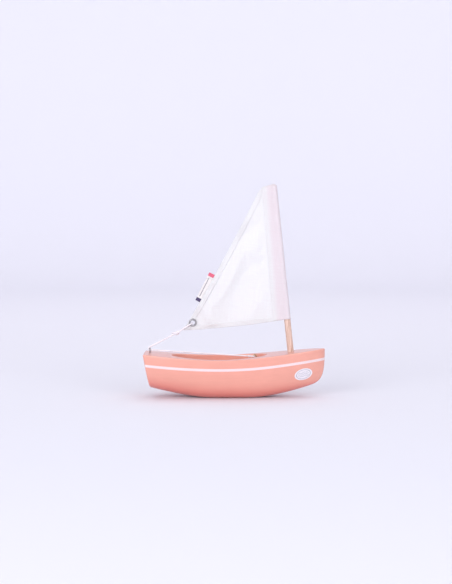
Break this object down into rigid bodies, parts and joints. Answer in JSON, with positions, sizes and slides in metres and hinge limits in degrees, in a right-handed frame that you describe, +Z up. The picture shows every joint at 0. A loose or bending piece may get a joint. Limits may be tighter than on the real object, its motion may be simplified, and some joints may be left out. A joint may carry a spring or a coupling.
{
  "type": "toy sailing boat",
  "caption": "Small wooden toy sailing boat with a carved painted hull, a raked dowel mast, a cotton sail that swings on the mast and an elastic sheet cord.",
  "frame": {"origin": "on the resting flat under the hull, amidships on the centreline", "axes": "+X forward to the bow, +Y to port, +Z up; the boat rests on the plane z = 0"},
  "size_m": [0.1717, 0.0558, 0.2021],
  "materials": {
    "painted_wood": "satin paint",
    "white_paint": "gloss paint line",
    "sticker": "satin",
    "plated_steel": "nickel plated",
    "brass": "bright",
    "cord": "braided elastic cord",
    "bare_wood": "sanded beech",
    "cotton": "plain weave cotton",
    "ribbon": "woven ribbon"
  },
  "bodies": {
    "hull": {"hull": "painted_wood", "stripe_port": "white_paint", "stripe_starboard": "white_paint", "bow_sticker": "sticker", "stern_eye": "plated_steel", "sheet_hook": "brass", "sheet_fore_leg": "cord", "sheet_aft_leg": "cord"},
    "mast": {"mast": "bare_wood"},
    "sail": {"sail": "cotton", "eyelet_barrel": "plated_steel", "eyelet_washer": "plated_steel", "leech_tab": "ribbon", "sheet_clew_loop": "cord"}
  },
  "joints": [
    {"name": "sail_swing", "type": "hinge", "parent": "hull", "child": "sail", "pos_m": [0.0539, 0, 0.043], "axis": [-0.1063, 0, 0.9943], "range_deg": [-40, 40], "deforming": ["sheet_aft_leg"]},
    {"name": "mast_turn", "type": "hinge", "parent": "hull", "child": "mast", "pos_m": [0.0539, 0, 0.043], "axis": [-0.1063, 0, 0.9943], "continuous": true}
  ]
}
